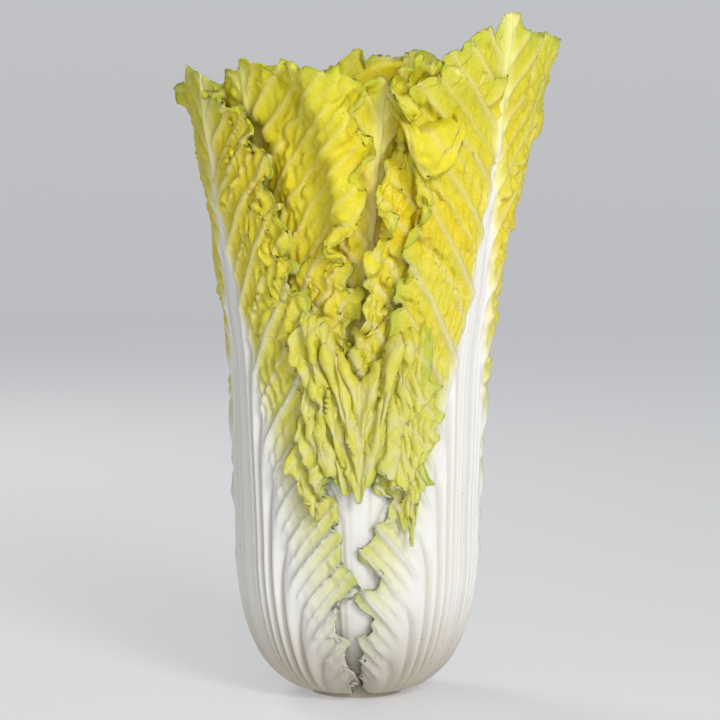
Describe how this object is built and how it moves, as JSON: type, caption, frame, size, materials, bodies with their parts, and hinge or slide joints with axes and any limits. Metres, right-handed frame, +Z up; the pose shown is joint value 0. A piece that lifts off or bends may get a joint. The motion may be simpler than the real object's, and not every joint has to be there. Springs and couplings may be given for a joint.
{
  "type": "napa cabbage",
  "caption": "Whole napa cabbage standing on its cut stem: a pale stem core wrapped by nested leaves with thick white ribbed stalks and crinkled yellow-green blades.",
  "frame": {"origin": "centre of the stem's cut face, which rests on the surface", "axes": "+Z up along the head towards the leaf tips, -Y towards the front where the two outer leaves meet, +X towards the taller outer leaf"},
  "size_m": [0.1819, 0.1685, 0.3399],
  "materials": {
    "stem_flesh": "moist matte plant flesh",
    "outer_leaf": "satin, white ribbed stalk below, pale yellow-green crinkled blade above",
    "middle_leaf": "satin, white stalk below, yellow crinkled blade above",
    "heart_leaf": "satin, cream stalk below, deep yellow crinkled blade above"
  },
  "bodies": {
    "root": {"front_leaf": "outer_leaf", "heart_leaf_01": "heart_leaf", "heart_leaf_02": "heart_leaf", "heart_leaf_03": "heart_leaf", "heart_leaf_04": "heart_leaf", "inner_leaf_01": "heart_leaf", "inner_leaf_02": "heart_leaf", "inner_leaf_03": "heart_leaf", "inner_leaf_04": "heart_leaf", "inner_leaf_05": "heart_leaf", "inner_leaf_06": "heart_leaf", "inner_leaf_07": "heart_leaf", "outer_leaf_back": "outer_leaf", "outer_leaf_left": "outer_leaf", "outer_leaf_right": "outer_leaf", "second_leaf_back": "middle_leaf", "second_leaf_left": "middle_leaf", "second_leaf_right": "middle_leaf", "side_leaf_left": "outer_leaf", "side_leaf_right": "outer_leaf", "stem_core": "stem_flesh", "third_leaf_back": "middle_leaf", "third_leaf_front": "middle_leaf", "third_leaf_right": "middle_leaf"}
  },
  "joints": []
}
